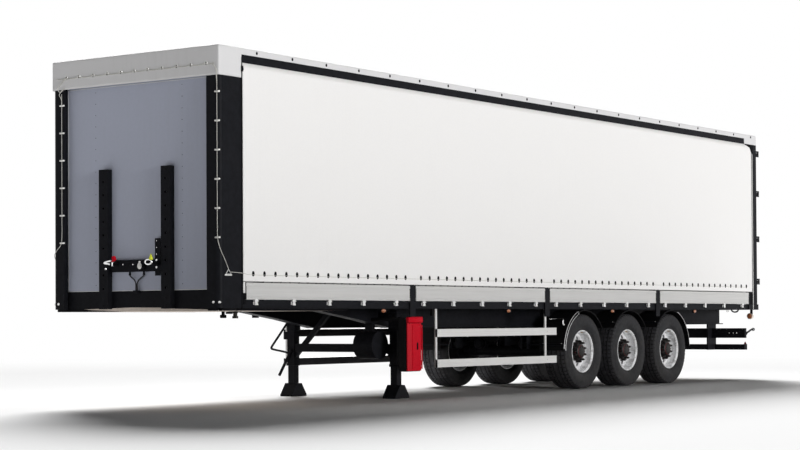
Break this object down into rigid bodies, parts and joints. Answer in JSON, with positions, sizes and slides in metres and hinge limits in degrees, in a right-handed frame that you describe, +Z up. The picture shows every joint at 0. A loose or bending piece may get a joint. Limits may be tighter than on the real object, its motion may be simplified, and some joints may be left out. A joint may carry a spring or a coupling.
{
  "type": "curtain-side semi trailer",
  "caption": "Curtain-side semi trailer on single wide wheels and landing legs, with drop boards, a sheeted roof, hinged rear doors and a king pin.",
  "frame": {"origin": "on the ground under the middle of the whole trailer", "axes": "+X towards the front wall and king pin, +Y to the trailer's left side, +Z up"},
  "size_m": [13.809, 2.55, 4],
  "materials": {
    "black_steel": "semi-gloss chassis paint",
    "plywood": "phenolic plywood",
    "primer_steel": "beige primer",
    "bare_steel": "greased steel",
    "blue_grey_panel": "matt panel",
    "red_plastic": "semi-gloss",
    "yellow_plastic": "semi-gloss",
    "pale_cloth": "coated cloth",
    "white_cloth": "coated cloth",
    "galvanised": "zinc",
    "aluminium_panel": "satin",
    "aluminium": "anodised, ribbed",
    "black_rubber": "matt",
    "black_plastic": "matt",
    "amber_lens": "clear moulded",
    "red_lens": "clear moulded",
    "silver_rim": "silver wheel paint",
    "tyre": "matt rubber"
  },
  "bodies": {
    "trailer": {"main_beams": "black_steel", "cross_members": "black_steel", "side_rails": "black_steel", "floor_deck": "plywood", "coupling_plate": "primer_steel", "king_pin": "bare_steel", "front_frame": "black_steel", "front_wall": "blue_grey_panel", "front_channels": "black_steel", "connector_plate": "black_steel", "air_coupling_red": "red_plastic", "air_coupling_yellow": "yellow_plastic", "supply_cables": "black_rubber", "roof_frame": "black_steel", "roof_sheet": "pale_cloth", "side_curtain_left": "white_cloth", "side_curtain_right": "white_cloth", "side_posts": "black_steel", "board_hinges_left": "galvanised", "board_hinges_right": "galvanised", "rear_frame": "black_steel", "rear_underrun": "black_steel", "axle_beams": "black_steel", "suspension_hangers": "black_steel", "trailing_arms": "black_steel", "air_springs": "black_rubber", "mudguards": "black_plastic", "landing_leg_left": "black_steel", "landing_leg_right": "black_steel", "landing_gear_brace": "black_steel", "landing_crank": "black_steel", "side_guards": "aluminium", "fire_box": "black_plastic", "air_tank": "black_steel", "side_marker_lamps": "amber_lens", "tail_lamps": "red_lens"},
    "wheel_left_1": {"rim_left_1": "silver_rim", "tyre_left_1": "tyre"},
    "wheel_left_2": {"rim_left_2": "silver_rim", "tyre_left_2": "tyre"},
    "wheel_left_3": {"rim_left_3": "silver_rim", "tyre_left_3": "tyre"},
    "board_left_1": {"drop_board_left_1": "aluminium"},
    "board_left_2": {"drop_board_left_2": "aluminium"},
    "board_left_3": {"drop_board_left_3": "aluminium"},
    "board_left_4": {"drop_board_left_4": "aluminium"},
    "door_left": {"rear_door_left": "aluminium_panel"},
    "wheel_right_1": {"rim_right_1": "silver_rim", "tyre_right_1": "tyre"},
    "wheel_right_2": {"rim_right_2": "silver_rim", "tyre_right_2": "tyre"},
    "wheel_right_3": {"rim_right_3": "silver_rim", "tyre_right_3": "tyre"},
    "board_right_1": {"drop_board_right_1": "aluminium"},
    "board_right_2": {"drop_board_right_2": "aluminium"},
    "board_right_3": {"drop_board_right_3": "aluminium"},
    "board_right_4": {"drop_board_right_4": "aluminium"},
    "door_right": {"rear_door_right": "aluminium_panel"},
    "box_door": {"fire_box_door": "red_plastic"}
  },
  "joints": [
    {"name": "wheel_left_1_spin", "type": "hinge", "parent": "trailer", "child": "wheel_left_1", "pos_m": [-1.1755, 1.045, 0.53], "axis": [0, 1, 0], "continuous": true},
    {"name": "wheel_left_2_spin", "type": "hinge", "parent": "trailer", "child": "wheel_left_2", "pos_m": [-2.4855, 1.045, 0.53], "axis": [0, 1, 0], "continuous": true},
    {"name": "wheel_left_3_spin", "type": "hinge", "parent": "trailer", "child": "wheel_left_3", "pos_m": [-3.7955, 1.045, 0.53], "axis": [0, 1, 0], "continuous": true},
    {"name": "board_left_1_hinge", "type": "hinge", "parent": "trailer", "child": "board_left_1", "pos_m": [4.707, 1.266, 1.207], "axis": [-1, 0, 0], "range_deg": [0, 180]},
    {"name": "board_left_2_hinge", "type": "hinge", "parent": "trailer", "child": "board_left_2", "pos_m": [1.492, 1.266, 1.207], "axis": [-1, 0, 0], "range_deg": [0, 180]},
    {"name": "board_left_3_hinge", "type": "hinge", "parent": "trailer", "child": "board_left_3", "pos_m": [-1.723, 1.266, 1.207], "axis": [-1, 0, 0], "range_deg": [0, 180]},
    {"name": "board_left_4_hinge", "type": "hinge", "parent": "trailer", "child": "board_left_4", "pos_m": [-4.938, 1.266, 1.207], "axis": [-1, 0, 0], "range_deg": [0, 180]},
    {"name": "door_left_hinge", "type": "hinge", "parent": "trailer", "child": "door_left", "pos_m": [-6.8905, 1.261, 2.5], "axis": [0, 0, -1], "range_deg": [0, 255]},
    {"name": "wheel_right_1_spin", "type": "hinge", "parent": "trailer", "child": "wheel_right_1", "pos_m": [-1.1755, -1.045, 0.53], "axis": [0, 1, 0], "continuous": true},
    {"name": "wheel_right_2_spin", "type": "hinge", "parent": "trailer", "child": "wheel_right_2", "pos_m": [-2.4855, -1.045, 0.53], "axis": [0, 1, 0], "continuous": true},
    {"name": "wheel_right_3_spin", "type": "hinge", "parent": "trailer", "child": "wheel_right_3", "pos_m": [-3.7955, -1.045, 0.53], "axis": [0, 1, 0], "continuous": true},
    {"name": "board_right_1_hinge", "type": "hinge", "parent": "trailer", "child": "board_right_1", "pos_m": [4.707, -1.266, 1.207], "axis": [1, 0, 0], "range_deg": [0, 180]},
    {"name": "board_right_2_hinge", "type": "hinge", "parent": "trailer", "child": "board_right_2", "pos_m": [1.492, -1.266, 1.207], "axis": [1, 0, 0], "range_deg": [0, 180]},
    {"name": "board_right_3_hinge", "type": "hinge", "parent": "trailer", "child": "board_right_3", "pos_m": [-1.723, -1.266, 1.207], "axis": [1, 0, 0], "range_deg": [0, 180]},
    {"name": "board_right_4_hinge", "type": "hinge", "parent": "trailer", "child": "board_right_4", "pos_m": [-4.938, -1.266, 1.207], "axis": [1, 0, 0], "range_deg": [0, 180]},
    {"name": "door_right_hinge", "type": "hinge", "parent": "trailer", "child": "door_right", "pos_m": [-6.8905, -1.261, 2.5], "axis": [0, 0, 1], "range_deg": [0, 255]},
    {"name": "fire_box_door_hinge", "type": "hinge", "parent": "trailer", "child": "box_door", "pos_m": [2.7985, 1.193, 0.635], "axis": [0, 0, 1], "range_deg": [0, 110]}
  ]
}
